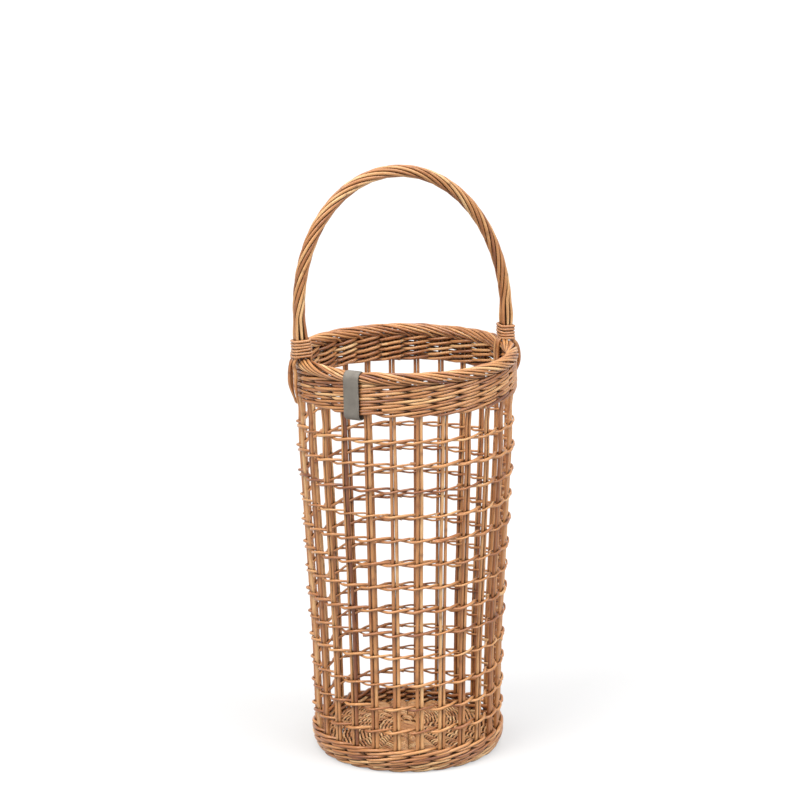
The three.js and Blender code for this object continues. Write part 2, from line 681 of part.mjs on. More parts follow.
// A plain strip closed round the border and the band, in the gap left of the front.
function leatherStrap() {
  const azimuth = gapAzimuth(STRAP_GAP);
  const inner = BORDER_REACH + STRAP_SLACK;
  const low = BAND_BOTTOM - STRAP_SLACK;
  const steps = 8;
  const contour = (offset) => {
    const reach = inner + offset;
    const points = [];
    for (let i = 0; i <= steps; i++) {
      const angle = (Math.PI * i) / steps;
      const radius = BORDER_RADIUS + reach * Math.cos(angle);
      points.push(new THREE.Vector2(radius, BORDER_HEIGHT + reach * Math.sin(angle)));
    }
    points.push(new THREE.Vector2(BORDER_RADIUS - reach, low - offset));
    points.push(new THREE.Vector2(wallRadius(low) + STRAP_OUTSIDE + offset, low - offset));
    return points;
  };
  const shape = new THREE.Shape(contour(STRAP_THICKNESS));
  shape.holes.push(new THREE.Path(contour(0)));
  const strap = new THREE.ExtrudeGeometry(shape, { depth: STRAP_WIDTH, bevelEnabled: false });
  strap.translate(0, 0, -STRAP_WIDTH / 2);
  const outwards = place(1, azimuth, 0);
  const leftwards = place(1, azimuth - Math.PI / 2, 0);
  strap.applyMatrix4(new THREE.Matrix4().makeBasis(outwards, UP, leftwards));
  return strap;
}

// The whole stand

for (let k = 0; k < STAKE_PAIRS; k++) {
  addPiece(`stake_pair_${String(k + 1).padStart(2, '0')}`, stakePair(k), willow);
}
for (let row = 0; row < FITCH_ROWS; row++) {
  addPiece(`fitching_row_${String(row + 1).padStart(2, '0')}`, fitchingRow(row), willow);
}
for (let row = 0; row < BAND_ROWS; row++) {
  addPiece(`band_row_${row + 1}`, bandRow(row), willow);
}
addPiece('foot_row_lower', lowerFootRow(), willow);
addPiece('foot_row_upper', upperFootRow(), willow);
addPiece('base_slath', baseSlath(), willow);
addPiece('base_weave', baseWeave(), willow);
addPiece('handle_core', handleCore(), willow);
for (let index = 0; index < HANDLE_RODS; index++) {
  addPiece(`handle_rod_${index + 1}`, handleRod(index), willow);
}
for (const [name, side, turns] of [['left', -1, LASH_LEFT_TURNS], ['right', 1, LASH_RIGHT_TURNS]]) {
  const { geometry, route } = lashing(side, turns);
  addPiece(`lashing_${name}`, geometry, skein);
  console.log(`lashing_${name}: least gap to itself ${leastGap(route, LASH_SKEIN).toFixed(2)} mm`);
}
addPiece('leather_strap', leatherStrap(), leather);

export default stand;
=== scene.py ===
# %% [markdown]
# A wicker umbrella stand, dressed for a photograph. The packed model gives the frame: plain solids
# with three and four sides, one for each piece. Here every solid gets its real willow rods: round,
# tapered, a little crooked, with knots, pale cut ends and a grain that runs along them.
# Every piece is made from paths. A path could be a Blender curve with a bevel, which is quick to
# draw, but a mesh tube of our own can carry the grain, the tone and the cut ends as attributes, so
# that one willow material can read them all.

# %% The frame and its box
import math

import bpy
import numpy as np
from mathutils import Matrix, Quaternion, Vector


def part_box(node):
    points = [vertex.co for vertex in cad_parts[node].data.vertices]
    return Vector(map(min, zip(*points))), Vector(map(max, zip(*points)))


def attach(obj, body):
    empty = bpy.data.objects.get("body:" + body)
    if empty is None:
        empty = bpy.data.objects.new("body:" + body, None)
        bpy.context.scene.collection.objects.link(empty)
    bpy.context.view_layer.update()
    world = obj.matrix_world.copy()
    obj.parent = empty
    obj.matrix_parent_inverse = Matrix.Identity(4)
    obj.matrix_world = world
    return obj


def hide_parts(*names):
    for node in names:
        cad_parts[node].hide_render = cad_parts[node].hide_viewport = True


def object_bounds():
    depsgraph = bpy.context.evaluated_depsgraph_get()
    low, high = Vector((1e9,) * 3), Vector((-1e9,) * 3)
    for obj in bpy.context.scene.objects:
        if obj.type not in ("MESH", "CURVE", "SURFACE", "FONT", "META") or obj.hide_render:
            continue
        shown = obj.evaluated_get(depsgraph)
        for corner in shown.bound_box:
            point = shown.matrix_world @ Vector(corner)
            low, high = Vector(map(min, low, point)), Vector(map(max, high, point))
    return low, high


MM = 0.001
chance = np.random.default_rng(26)


def in_mm(box):
    return [round(x / MM, 1) for corner in box for x in corner]


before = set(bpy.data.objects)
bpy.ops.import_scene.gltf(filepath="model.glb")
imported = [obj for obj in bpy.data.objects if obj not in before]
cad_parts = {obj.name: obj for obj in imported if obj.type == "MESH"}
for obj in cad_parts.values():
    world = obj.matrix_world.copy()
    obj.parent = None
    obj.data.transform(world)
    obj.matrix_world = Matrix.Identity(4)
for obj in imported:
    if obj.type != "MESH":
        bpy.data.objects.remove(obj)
cad_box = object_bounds()
print("CAD box in mm:", in_mm(cad_box))

# %% [markdown]
# The camera stands where the photographer stood: 3.3 m away and 1.26 m up, looking down a little
# through a long lens. The rim and foot ellipses of the basket fix all of that. The stand leans by
# half a degree in the picture, and stands a little right of the middle, so the camera is rolled and
# turned by as much, which leaves its shift at zero.

# %% Camera
FOCAL_PIXELS = 2683.7
IMAGE_PIXELS = 800
SENSOR = 36.0
CAMERA_PLACE = Vector((0, -3278.9, 1259.35)) * MM
CAMERA_PITCH = -0.241
CAMERA_YAW_PIXELS = 5.3
CAMERA_ROLL = math.radians(-0.5)

camera = bpy.data.objects.new("camera", bpy.data.cameras.new("camera"))
bpy.context.scene.collection.objects.link(camera)
camera.data.lens = FOCAL_PIXELS / IMAGE_PIXELS * SENSOR
camera.data.sensor_width = SENSOR
camera.data.clip_start = 0.1
camera.data.clip_end = 100
camera.location = CAMERA_PLACE
yaw = -CAMERA_YAW_PIXELS / FOCAL_PIXELS
forward = Vector((math.sin(yaw), math.cos(yaw), math.tan(CAMERA_PITCH)))
camera.rotation_mode = "QUATERNION"
camera.rotation_quaternion = forward.to_track_quat("-Z", "Y") @ Quaternion((0, 0, 1), CAMERA_ROLL)
bpy.context.scene.camera = camera
print("lens:", round(camera.data.lens, 1), "mm")

# %% [markdown]
# The picture's background is plain white. A world as bright as that would drown the stand in light
# from all sides. The white could also be put in behind a finished render, but then the glints on the
# willow would miss it. So the world is white where the camera sees it, straight or in a reflection,
# and dim as light. A Light Path node tells the two apart.

# %% World
scene = bpy.context.scene
scene.view_settings.view_transform = "Standard"
SKY = 0.3


def grey(value):
    return (value, value, value, 1)


def seen(tree):
    """A socket that is 1 where the camera sees a thing, straight or through gloss or glass, else 0."""
    rays = tree.nodes.new("ShaderNodeLightPath")
    total = rays.outputs["Is Camera Ray"]
    for name in ("Is Glossy Ray", "Is Transmission Ray"):
        more = tree.nodes.new("ShaderNodeMath")
        more.operation = "MAXIMUM"
        tree.links.new(total, more.inputs[0])
        tree.links.new(rays.outputs[name], more.inputs[1])
        total = more.outputs["Value"]
    return total


def between(tree, factor, low, high):
    """A socket that runs from low to high with the factor."""
    span = tree.nodes.new("ShaderNodeMapRange")
    span.inputs["To Min"].default_value = low
    span.inputs["To Max"].default_value = high
    tree.links.new(factor, span.inputs["Value"])
    return span.outputs["Result"]


world = bpy.data.worlds.new("studio")
world.use_nodes = True
scene.world = world
sky = world.node_tree
background = sky.nodes["Background"]
sky.links.new(between(sky, seen(sky), SKY, 1.0), background.inputs["Strength"])
background.inputs["Color"].default_value = grey(1)
print("sky: 1 to the eye,", SKY, "as light")

# %% [markdown]
# Product light is soft. A key comes from the upper left, a weaker fill from the right and a wide top
# light from above, so that every rod has a bright side and a dark side and no shadow is hard. Area
# lamps are the usual softboxes, but they would leave a bright patch on the floor. Suns light it
# evenly however far it runs, and the wider the angle of a sun, the softer the edge of its shadow.

# %% Lamps


def add_sun(name, strength, width_deg, direction, colour):
    """A lamp as wide as a softbox, that shines along a direction."""
    lamp = bpy.data.lights.new(name, "SUN")
    lamp.energy = strength
    lamp.angle = math.radians(width_deg)
    lamp.color = colour
    thing = bpy.data.objects.new(name, lamp)
    scene.collection.objects.link(thing)
    thing.rotation_mode = "QUATERNION"
    thing.rotation_quaternion = Vector(direction).to_track_quat("-Z", "Y")


add_sun("key", 2.25, 36, (0.72, 0.6, -1.0), (1, 0.98, 0.95))
add_sun("fill", 1.75, 45, (-0.85, 0.5, -0.85), (0.98, 0.98, 1))
add_sun("top", 2.0, 60, (0.0, 0.15, -1), (1, 1, 1))

# %% [markdown]
# The white ground has only a faint shadow round the foot. A shadow catcher could hold that shadow,
# but it needs a transparent film and a white put in afterwards. So the floor is a large sheet of grey
# paper that glows, and only in the eye of the camera, like the sky. It comes out white, takes a soft
# shadow and throws little light back up. It lies a hair below the foot, so that no faces share a plane.

# %% Floor
FLOOR_HALF = 20.0
FLOOR_GAP = 0.3 * MM
FLOOR_PAPER = 0.38
FLOOR_GLOW = 0.44

floor_mesh = bpy.data.meshes.new("floor")
floor_corners = [(x * FLOOR_HALF, y * FLOOR_HALF, 0) for x, y in ((-1, -1), (1, -1), (1, 1), (-1, 1))]
floor_mesh.from_pydata(floor_corners, [], [(0, 1, 2, 3)])
floor = bpy.data.objects.new("floor", floor_mesh)
floor.location.z = cad_box[0].z - FLOOR_GAP
scene.collection.objects.link(floor)

paper = bpy.data.materials.new("white_paper")
paper.use_nodes = True
paper_tree = paper.node_tree
paper_inputs = paper_tree.nodes["Principled BSDF"].inputs
paper_inputs["Base Color"].default_value = grey(FLOOR_PAPER)
paper_inputs["Roughness"].default_value = 0.9
paper_inputs["Specular IOR Level"].default_value = 0.1
paper_inputs["Emission Color"].default_value = grey(1)
glow = between(paper_tree, seen(paper_tree), 0.0, FLOOR_GLOW)
paper_tree.links.new(glow, paper_inputs["Emission Strength"])
floor_mesh.materials.append(paper)
print("floor at", round(floor.location.z / MM, 2), "mm")

# %% [markdown]
# A material is a graph of nodes. In the editor its links are drawn by hand. In a script every node
# and link is a call, and a long material would be hard to read. So this class makes each node in one
# line and gives back the socket that comes out of it, and a material then reads like arithmetic.
# Colours are given as they show on a screen, and turned into the linear values of shaders.

# %% Colours and nodes


def srgb(red, green, blue):
    """A colour given as it shows on a screen, from 0 to 255, in the linear values of a shader."""
    parts = [value / 255 for value in (red, green, blue)]
    linear = [p / 12.92 if p <= 0.04045 else ((p + 0.055) / 1.055) ** 2.4 for p in parts]
    return (*linear, 1)


class Nodes:
    """Short calls for the nodes and links of one material."""

    def __init__(self, name):
        self.material = bpy.data.materials.new(name)
        self.material.use_nodes = True
        self.tree = self.material.node_tree
        self.surface = self.tree.nodes["Principled BSDF"].inputs

    def feed(self, socket, value):
        if isinstance(value, bpy.types.NodeSocket):
            self.tree.links.new(value, socket)
        else:
            socket.default_value = value

    def add(self, kind, settings=None, **inputs):
        made = self.tree.nodes.new(kind)
        for key, value in (settings or {}).items():
            setattr(made, key, value)
        for key, value in inputs.items():
            self.feed(made.inputs[key.replace("_", " ")], value)
        return made

    def attribute(self, name, output="Fac"):
        return self.add("ShaderNodeAttribute", {"attribute_name": name}).outputs[output]

    def noise(self, place, scale, detail, roughness=0.55):
        stretched = self.add("ShaderNodeMapping", Vector=place, Scale=scale)
        return self.add("ShaderNodeTexNoise", Vector=stretched.outputs["Vector"], Scale=1.0,
                        Detail=detail, Roughness=roughness).outputs["Fac"]

    def ramp(self, factor, stops):
        made = self.add("ShaderNodeValToRGB", Fac=factor)
        band = made.color_ramp
        while len(band.elements) < len(stops):
            band.elements.new(0.5)
        for element, (position, colour) in zip(band.elements, stops):
            element.position = position
            element.color = colour
        return made.outputs["Color"]

    def mix(self, kind, factor, first, second):
        made = self.add("ShaderNodeMix", {"data_type": "RGBA", "blend_type": kind})
        for name, value in (("Factor", factor), ("A", first), ("B", second)):
            self.feed(made.inputs[name], value)
        return made.outputs["Result"]

    def math(self, operation, first, second):
        made = self.add("ShaderNodeMath", {"operation": operation})
        self.feed(made.inputs[0], first)
        self.feed(made.inputs[1], second)
        return made.outputs["Value"]

    def bump(self, height, strength, distance):
        made = self.add("ShaderNodeBump", Strength=strength, Distance=distance, Height=height)
        self.feed(self.surface["Normal"], made.outputs["Normal"])


print("node calls:", [name for name in vars(Nodes) if not name.startswith("_")])

# %% [markdown]
# Peeled willow is satin and warm. Each rod has its own tone, from straw to reddish brown, long fine
# streaks along it, blotches a few centimetres long, darker rings at the knots and a pale pith where
# it is cut. The mesh carries all of these: `tone` and `knot` are numbers at each point, `cut` marks
# the end faces, and `grain` is a place in a straightened copy of the rod. Noise that is read at
# `grain`, squeezed along the rod, makes streaks that follow every bend with no seam, where a wood
# picture would need every rod unwrapped. Shade is painted into the colour as well: an ambient
# occlusion node darkens the creases where rods press on each other, and the crests keep their colour.

# %% Willow
STREAK_SCALE = (22, 1500, 1500)
BLOTCH_SCALE = (28, 160, 160)
BLOTCH_SPREAD = 0.9
TONE_STOPS = (0.08, 0.36, 0.66, 0.95)
STREAK_DARK = grey(0.78)
STREAK_PALE = grey(1.06)
KNOT_BROWN = srgb(104, 60, 34)
PITH = srgb(226, 196, 150)
# Painted shade: the colour that the creases between rods are darkened towards
PAINTED_CREASE_SHADE = srgb(68, 46, 34)
CREASE_REACH = 5 * MM
GLOSS_SPREAD = 0.2


def willow_material(name, tones, roughness):
    nodes = Nodes(name)
    grain = nodes.attribute("grain", "Vector")
    streaks = nodes.noise(grain, STREAK_SCALE, 4.0, 0.6)
    blotches = nodes.math("SUBTRACT", nodes.noise(grain, BLOTCH_SCALE, 2.0), 0.5)
    shade = nodes.math("ADD", nodes.attribute("tone"), nodes.math("MULTIPLY", blotches, BLOTCH_SPREAD))
    colour = nodes.ramp(shade, list(zip(TONE_STOPS, tones)))
    streak_shade = nodes.ramp(streaks, [(0.3, STREAK_DARK), (0.62, STREAK_PALE)])
    colour = nodes.mix("MULTIPLY", 1.0, colour, streak_shade)
    colour = nodes.mix("MIX", nodes.math("MULTIPLY", nodes.attribute("knot"), 0.6), colour, KNOT_BROWN)
    colour = nodes.mix("MIX", nodes.math("MULTIPLY", nodes.attribute("cut"), 0.85), colour, PITH)
    # Painted shade: an ambient occlusion node darkens the colour in the creases between rods
    crease = nodes.add("ShaderNodeAmbientOcclusion", {"samples": 6}, Distance=CREASE_REACH)
    crease_shade = nodes.ramp(crease.outputs["AO"], [(0.25, PAINTED_CREASE_SHADE), (0.78, grey(1.0))])
    nodes.feed(nodes.surface["Base Color"], nodes.mix("MULTIPLY", 1.0, colour, crease_shade))
    gloss = nodes.math("MULTIPLY", streaks, GLOSS_SPREAD)
    nodes.feed(nodes.surface["Roughness"], nodes.math("ADD", roughness - GLOSS_SPREAD / 2, gloss))
    nodes.surface["Specular IOR Level"].default_value = 0.62
    nodes.bump(streaks, 0.55, 0.25 * MM)
    return nodes.material


willow = willow_material(
    "peeled_willow",
    [srgb(120, 66, 36), srgb(175, 113, 65), srgb(208, 149, 93), srgb(240, 197, 141)],
    0.35)
split_willow = willow_material(
    "split_willow",
    [srgb(150, 92, 54), srgb(190, 130, 82), srgb(208, 152, 102), srgb(230, 184, 132)],
    0.36)
print("willow nodes:", len(willow.node_tree.nodes))

# %% [markdown]
# A pair of uprights is two rods, a woven row is six or nine, and each is one piece of the model. The
# rods could be objects that are joined at the end, but a join of hundreds is slow. So a piece gathers
# points, faces and attributes in plain lists, and becomes one mesh object when it is finished. Then it
# rides on the stand, and the CAD node that it stands for is hidden.

# %% Pieces


class Piece:
    """One mesh, gathered part by part, with the attributes that the materials read."""

    def __init__(self):
        self.points, self.faces, self.smooth = [], [], []
        self.grain, self.tone, self.knot, self.cut = [], [], [], []
        self.count = 0

    def add(self, points, faces, smooth, grain, tone, knot, cut):
        self.points.append(points)
        self.grain.append(grain)
        self.tone.append(np.full(len(points), tone))
        self.knot.append(knot)
        self.cut.append(np.full(len(points), cut))
        self.faces.extend([tuple(i + self.count for i in face) for face in faces])
        self.smooth.extend([smooth] * len(faces))
        self.count += len(points)

    def finish(self, name, node, material):
        """Makes the object, which rides on the stand and stands for a CAD node."""
        mesh = bpy.data.meshes.new(name)
        mesh.from_pydata(np.concatenate(self.points).tolist(), [], self.faces)
        mesh.polygons.foreach_set("use_smooth", self.smooth)
        mesh.attributes.new("grain", "FLOAT_VECTOR", "POINT").data.foreach_set(
            "vector", np.concatenate(self.grain).ravel())
        for label, parts in (("tone", self.tone), ("knot", self.knot), ("cut", self.cut)):
            mesh.attributes.new(label, "FLOAT", "POINT").data.foreach_set("value", np.concatenate(parts))
        mesh.materials.append(material)
        mesh.update()
        thing = bpy.data.objects.new(name, mesh)
        scene.collection.objects.link(thing)
        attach(thing, "root")
        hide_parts(node)


print("a piece gathers:", list(vars(Piece())))

# %% [markdown]
# The real rim isn't quite round: it's a little wider than deep. Every path could be drawn on an
# ellipse, but then each azimuth would need a radius of its own. It's simpler to draw all of them
# round, and to widen what lies at the height of the rim and its band afterwards.

# %% Oval rim
OVAL_SHARE = 0.018
OVAL_HEIGHTS = np.array([446, 464, 512, 530]) * MM


def oval(path):
    """A path, widened where it passes the band and the rim."""
    path = np.array(path, float)
    path[:, 0] *= 1 + OVAL_SHARE * np.interp(path[:, 2], OVAL_HEIGHTS, (0, 1, 1, 0))
    return path


print("the rim is", round(100 * OVAL_SHARE, 1), "% wider than deep")

# %% [markdown]
# A rod is a tube round a path. At each point of the path the tube needs two directions square to
# it, and if these were picked afresh at each point they would spin, and the grain with them. So the
# first pair is carried along and only tilted as the path turns, which is called parallel transport.
# The rod's radius changes from butt to tip, swells a little at each knot, and each end gets a flat
# cut face of its own points, so that the cut stays crisp.

# %% Rods
SIDES = 9
FIRST_KNOT = (20 * MM, 120 * MM)
KNOT_SPACING = (110 * MM, 170 * MM)
KNOT_LENGTH = 2.2 * MM
KNOT_SWELL = 0.07
OFF_AXIS = (0.3, 0.2, 1.0)


def lengths_along(path):
    """How far along a path each of its points lies."""
    return np.concatenate([[0], np.cumsum(np.linalg.norm(np.diff(path, axis=0), axis=1))])


def tube_faces(rings, sides, closed=False):
    """Four-sided faces between neighbouring rings of points. A closed tube joins its two ends."""
    faces = []
    for i in range(rings if closed else rings - 1):
        near, far = i * sides, (i + 1) % rings * sides
        for a in range(sides):
            b = (a + 1) % sides
            faces.append((near + a, near + b, far + b, far + a))
    return faces


def add_rod(piece, path, radius, tone=None, knots=True, sides=SIDES):
    """A round rod. Radius is one number or one for each point of the path."""
    path = oval(path)
    radius = np.broadcast_to(np.asarray(radius, float), len(path)).copy()
    tone = chance.normal(0.5, 0.15) if tone is None else tone
    along = lengths_along(path)
    knot = np.zeros(len(path))
    if knots:
        for where in np.arange(chance.uniform(*FIRST_KNOT), along[-1], chance.uniform(*KNOT_SPACING)):
            knot = np.maximum(knot, np.exp(-(((along - where) / KNOT_LENGTH) ** 2)))
        radius = radius * (1 + KNOT_SWELL * knot)
    tangent = np.gradient(path, axis=0)
    tangent /= np.linalg.norm(tangent, axis=1)[:, None]
    side = np.cross(tangent[0], OFF_AXIS)
    ring_angle = np.arange(sides) / sides * 2 * math.pi
    shape = np.stack([np.cos(ring_angle), np.sin(ring_angle)], 1)
    shift = chance.uniform(0, 5, 3)
    rings, grains = [], []
    for centre, direction, reach, length in zip(path, tangent, radius, along):
        side = side - direction * side.dot(direction)
        side /= np.linalg.norm(side)
        other = np.cross(direction, side)
        rings.append(centre + reach * (shape[:, :1] * side + shape[:, 1:] * other))
        grains.append(np.column_stack([np.full(sides, length), shape * reach]) + shift)
    piece.add(np.concatenate(rings), tube_faces(len(rings), sides), True, np.concatenate(grains), tone,
              np.repeat(knot, sides), 0.0)
    around = tuple(range(sides))
    for ring, grain, order in ((rings[0], grains[0], -1), (rings[-1], grains[-1], 1)):
        piece.add(ring, [around[::order]], False, grain, tone, np.zeros(sides), 1.0)


print("a rod has", SIDES, "sides and a knot each", [round(x / MM) for x in KNOT_SPACING], "mm")

# %% [markdown]
# Where the real rod is pulled straight and bent at a few places, a smooth line through a few points
# is enough to draw it. A Bezier curve could do it, but its handles would have to be set at each bend.
# A Catmull-Rom spline needs none: it passes through every point that it's given. The points come from
# a radius, an azimuth and a height, because that is how one measures round a basket.

# %% Places and smooth lines
UP = np.array([0, 0, 1.0])


def place(radius, azimuth, height):
    """Points from a radius, an azimuth that is 0 at the front and grows to the right, and a height."""
    radius, azimuth, height = np.broadcast_arrays(radius, azimuth, height)
    return np.stack([radius * np.sin(azimuth), -radius * np.cos(azimuth), height], axis=-1)


def through(points, spacing):
    """A smooth line through points, at about even spacing."""
    points = np.asarray(points, float)
    ends = [2 * points[0] - points[1], *points, 2 * points[-1] - points[-2]]
    line = []
    for a, b, c, d in zip(ends, ends[1:], ends[2:], ends[3:]):
        knots = np.cumsum([0, *(np.linalg.norm(q - p) ** 0.5 for p, q in ((a, b), (b, c), (c, d)))])
        count = max(1, math.ceil(np.linalg.norm(c - b) / spacing))
        for t in np.linspace(knots[1], knots[2], count, endpoint=False):
            low = [(p * (knots[i + 1] - t) + q * (t - knots[i])) / (knots[i + 1] - knots[i])
                   for i, (p, q) in enumerate(((a, b), (b, c), (c, d)))]
            middle = [(low[i] * (knots[i + 2] - t) + low[i + 1] * (t - knots[i]))
                      / (knots[i + 2] - knots[i]) for i in (0, 1)]
            line.append((middle[0] * (knots[2] - t) + middle[1] * (t - knots[1])) / (knots[2] - knots[1]))
    return np.array([*line, points[-1]])


print("a straight metre has", len(through([0 * UP, UP], 5 * MM)), "points at 5 mm")

# %% [markdown]
# A weaver goes in and out for a whole turn, and its place is a wave with flat tops that repeats every
# two or three stakes. A sine would be the shortest way to write it, but it has no flat tops, and real
# willow lies straight across a rod and bends in the gap. So one repeat is drawn with corners and then
# blurred. Nothing grown is even, so each path also sways a little, slowly and at random.

# %% Waves and sway
WAVE_SAMPLES = 48


def wave(period, corners, blur):
    """A repeating wave through corner points, blurred. It's called with places counted in stakes."""
    steps = np.arange(period * WAVE_SAMPLES) / WAVE_SAMPLES
    xs, ys = zip(*corners)
    values = np.interp(steps, xs, ys, period=period)
    reach = int(blur * WAVE_SAMPLES)
    weights = np.hanning(2 * reach + 3)[1:-1]
    weights /= weights.sum()
    smooth = sum(w * np.roll(values, shift) for w, shift in zip(weights, range(-reach, reach + 1)))
    return lambda u: np.interp(u, steps, smooth, period=period)


def wobble(count, size, spacing):
    """Slow random sway for a run of points, nearly none at both ends."""
    places = np.linspace(0, 1, max(4, int(count * spacing)))
    sway = np.interp(np.linspace(0, 1, count), places, chance.normal(0, size, len(places)))
    smooth = np.convolve(np.pad(sway, 3, mode="edge"), np.ones(7) / 7, mode="valid")
    return smooth * np.hanning(count + 2)[1:-1]


zigzag = wave(2, [(0, -1), (1, 1)], 0.2)
print("a blurred zigzag peaks at", round(float(zigzag(1)), 2))

# %% [markdown]
# The stand is narrow at the foot, widest under the band and a little pulled in at the rim. Its base
# is nearly flat, and its middle lies a few millimetres higher than its edge, so that the stand rests
# on its foot. These shapes could be read off the CAD solids point by point, but a few measures from
# the photo say the same, and every rod and row can ask them for its place.

# %% Wall and base
PAIRS = 26
PITCH = 2 * math.pi / PAIRS
FIRST_PAIR = math.radians(7.32)
WALL_HEIGHTS = np.array([0, 15, 150, 408, 500.7]) * MM
WALL_RADII = np.array([109.5, 116.5, 119.6, 132.8, 131.8]) * MM
RIM_TILT = 4.6 * MM
STAKE_TOP = 498.7 * MM
ROD_BUTT = 2.55 * MM
ROD_TIP = 2.0 * MM
BASE_EDGE_HEIGHT = 10 * MM
BASE_CROWN = 5 * MM
UPSETT = 5 * MM
SLATH_RADIUS = 27 * MM
STICK_REACH = 84 * MM


def pair_azimuth(k):
    return FIRST_PAIR + k * PITCH


def wall_radius(height):
    return np.interp(height, WALL_HEIGHTS, WALL_RADII)


def rod_radius(height):
    return np.interp(height, (0, STAKE_TOP), (ROD_BUTT, ROD_TIP))


def rim_lift(azimuth):
    """The rim isn't quite level: it climbs from the front to the back."""
    return RIM_TILT * (1 - np.cos(azimuth)) / 2


base_edge = wall_radius(BASE_EDGE_HEIGHT + UPSETT) - UPSETT


def base_height(radius):
    slope = BASE_CROWN / (base_edge - SLATH_RADIUS)
    return BASE_EDGE_HEIGHT + slope * (base_edge - np.maximum(radius, SLATH_RADIUS))


print("base edge:", round(base_edge / MM, 1), "mm out,", round(base_height(0) / MM, 1), "mm high inside")

# %% [markdown]
# At the top each pair leans over, goes in under its neighbours, comes over the border and lies down
# the outside, so that four pairs at a time make a rope. A short piece of rope could be copied round
# the rim, which would look too even. Here each rod winds round the rope's centre line by a fixed
# angle in each pitch, with a sway of its own. The strap is pulled tight over the border, so the rope
# is squeezed and pressed down there.

# %% Border
BORDER_HEIGHT = 511 * MM
BORDER_RADIUS = 132.8 * MM
BORDER_STRAND = 6.3 * MM
BORDER_START = math.radians(225)
BORDER_TURN = math.radians(74)
BORDER_SPAN = (0.5, 4.7)
BORDER_STEPS = 13
TURN_SWAY = 0.15
REACH_SWAY = 0.7 * MM
LEAN_AT = 0.2
LEAN_DROP = 1.2 * MM
LEAN_INSET = 1.1 * MM
STRAP_AZIMUTH = FIRST_PAIR - 2.53 * PITCH
SQUEEZE = 0.2
SQUEEZE_WIDTH = 0.12
SQUEEZE_DROP = 5 * MM


def border_point(azimuth, pitches, turn, reach):
    """A place on the border's rope: pitches from the stake, turned on by an angle round the rope."""
    angle = BORDER_START - BORDER_TURN * (pitches - BORDER_SPAN[0]) + turn
    here = azimuth + pitches * PITCH
    from_strap = (here - STRAP_AZIMUTH + math.pi) % (2 * math.pi) - math.pi
    squeeze = SQUEEZE * math.exp(-((from_strap / SQUEEZE_WIDTH) ** 2))
    reach *= 1 - squeeze
    height = BORDER_HEIGHT + rim_lift(here) - SQUEEZE_DROP * squeeze
    return place(BORDER_RADIUS + reach * math.cos(angle), here, height + reach * math.sin(angle))


def border_route(azimuth, side):
    """One rod of a pair, from where it leans over to its end under the border."""
    lean_azimuth = azimuth + LEAN_AT * PITCH
    lean_height = (STAKE_TOP + BORDER_HEIGHT) / 2 - LEAN_DROP + rim_lift(azimuth)
    lean = place(WALL_RADII[-1] - LEAN_INSET, lean_azimuth, lean_height)
    along = place(1.0, lean_azimuth + math.pi / 2, 0.0)
    pitches = np.linspace(*BORDER_SPAN, BORDER_STEPS)
    turns = -side * ROD_TIP / BORDER_STRAND + wobble(len(pitches), TURN_SWAY, 0.5)
    reaches = BORDER_STRAND + wobble(len(pitches), REACH_SWAY, 0.5)
    return [lean + side * ROD_TIP * (along - UP) / math.sqrt(2),
            *(border_point(azimuth, *values) for values in zip(pitches, turns, reaches))]


print("border top:", round((BORDER_HEIGHT + BORDER_STRAND + ROD_TIP) / MM, 1), "mm")

# %% [markdown]
# The uprights come first, as they do in the workshop after the base. Twenty-six pairs of rods are
# pushed into the base beside its sticks, pinched with a thumbnail and turned up, which makers call
# the upsett. One pair could be made and copied round, but then all of them would have the same knots
# and bends. So each rod gets a path of its own, and the two sway a little apart between the rows.

# %% Uprights
UPRIGHT_STEPS = 24
PAIR_SPREAD = 1.02
GAP_SWAY = 0.5 * MM
LEAN_SWAY = 0.7 * MM
FINE_TIP = 70 * MM


def upright_path(azimuth, side):
    """One rod of a pair, from its end in the base to its end under the border."""
    points = []
    for radius in np.linspace(STICK_REACH + 1 * MM, base_edge, 3):
        points.append(place(radius, azimuth + side * ROD_BUTT / radius, base_height(radius)))
    climb = np.linspace(WALL_HEIGHTS[1], STAKE_TOP + rim_lift(azimuth), UPRIGHT_STEPS)
    heights = np.array([BASE_EDGE_HEIGHT + UPSETT, *climb])
    gaps = ROD_BUTT * PAIR_SPREAD + np.abs(wobble(len(heights), GAP_SWAY, 0.6))
    leans = wobble(len(heights), LEAN_SWAY, 0.5)
    for height, gap, lean in zip(heights, gaps, leans):
        radius = wall_radius(height)
        spread = gap * rod_radius(height) / ROD_BUTT
        points.append(place(radius, azimuth + (side * spread + lean) / radius, height))
    return through([*points, *border_route(azimuth, side)], 5 * MM)


def tapered(path, share):
    """Radius along an upright: thinner with height, and down to a fine tip at its far end."""
    left = lengths_along(path[::-1])[::-1]
    tip = 0.5 + 0.5 * np.clip(left / FINE_TIP, 0, 1) ** 0.7
    return rod_radius(path[:, 2]) * share * tip


for k in range(PAIRS):
    pair = Piece()
    for side in (-1, 1):
        path = upright_path(pair_azimuth(k), side)
        add_rod(pair, path, tapered(path, chance.uniform(0.86, 1.03)))
    pair.finish(f"willow_pair_{k + 1:02d}", f"stake_pair_{k + 1:02d}", willow)
print("uprights:", PAIRS, "pairs,", len(pair.faces), "faces in the last one")

# %% [markdown]
# A woven row is two or three strands that take turns in front of the pairs and behind them, and cross
# in the gaps. Real weavers are a metre long at most, so each strand is made of three, with a thick
# butt laid in where the last tip ran out. A strand could be one endless ring, as it is in the solids,
# but the butts and a few stray tips are what makes a basket look handmade. The wave has four corners:
# behind the pair, crossing out, in front of the pairs, crossing in.

# %% One woven row
PASS = 0.25
WAVE_BLUR = 0.2
BACK_PAIR = PAIRS // 2
WEAVERS = 3
JOIN_MARGIN = 2
WEAVER_STEP = 0.09
OVERLAP = (0.35, 0.5)
PRESS_GAP = 0.15 * MM
TUCK = -2.2 * MM
STRAY = 3.5 * MM
TUCK_SPAN = 0.3
